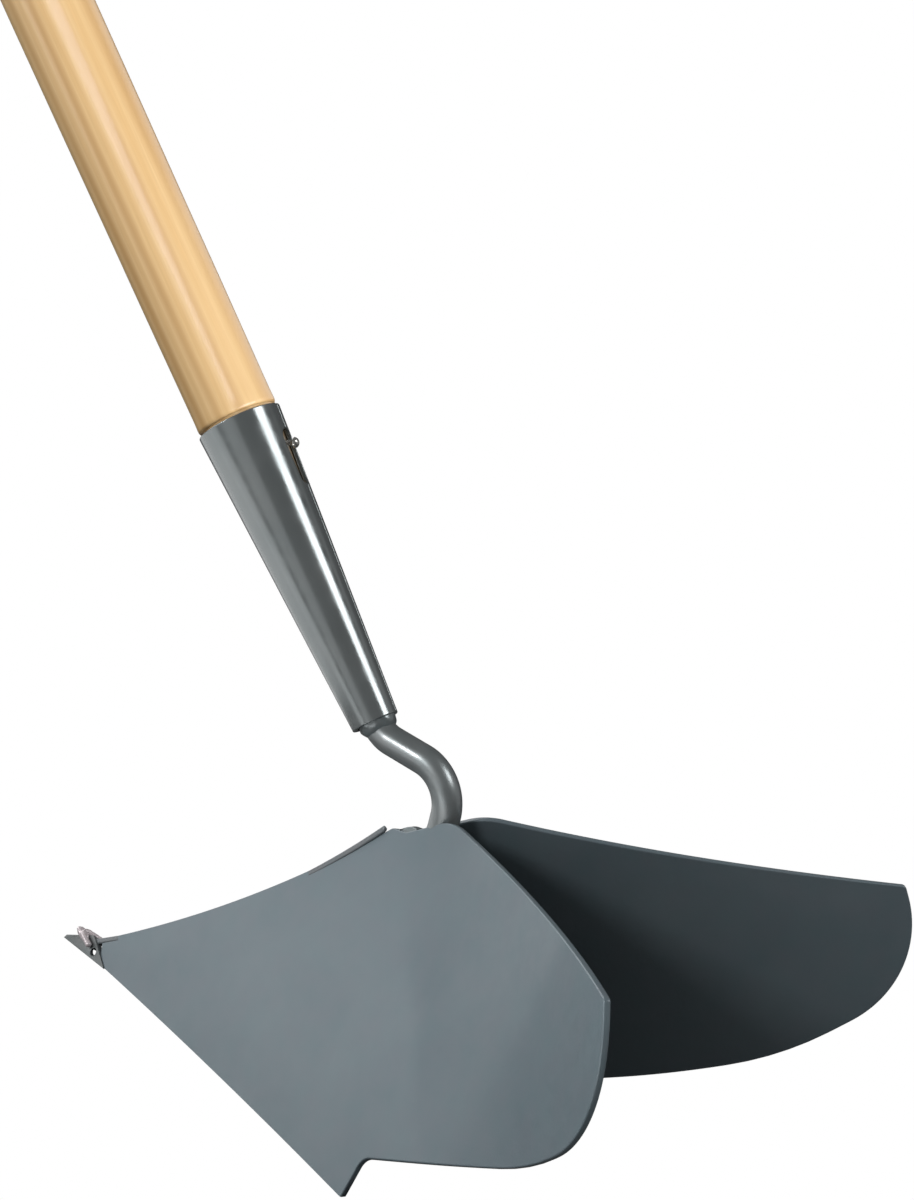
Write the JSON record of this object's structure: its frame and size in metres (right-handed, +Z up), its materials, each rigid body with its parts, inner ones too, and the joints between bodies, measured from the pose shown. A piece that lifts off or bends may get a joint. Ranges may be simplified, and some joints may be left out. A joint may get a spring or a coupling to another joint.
{
  "type": "hand ridging plough",
  "caption": "Long-handled hand ridging plough: a pointed nose and two curved steel wings on a swan neck, in a tapered socket on a round ash pole.",
  "frame": {"origin": "middle of the box that holds the tool, on the ground that the cutting edges stand on", "axes": "+Z up in the working position, nose and handle towards -X, wings flaring towards +X, the tool's middle plane at y = 0"},
  "size_m": [1.2456, 0.2081, 1.1528],
  "materials": {
    "ash_pole": "clear gloss varnish over straight-grained ash",
    "painted_steel": "semi-gloss blue-grey clear-coated steel",
    "socket_steel": "gloss grey lacquered steel",
    "weld_steel": "lacquered weld metal",
    "bright_steel": "bright zinc"
  },
  "bodies": {
    "root": {"handle": "ash_pole", "socket": "socket_steel", "handle_screw": "bright_steel", "neck": "painted_steel", "socket_weld": "weld_steel", "left_wing": "painted_steel", "right_wing": "painted_steel", "shin_weld": "weld_steel", "nose_point": "painted_steel", "nose_weld": "weld_steel", "neck_weld_front": "weld_steel", "neck_weld_left": "weld_steel", "neck_weld_right": "weld_steel"}
  },
  "joints": []
}
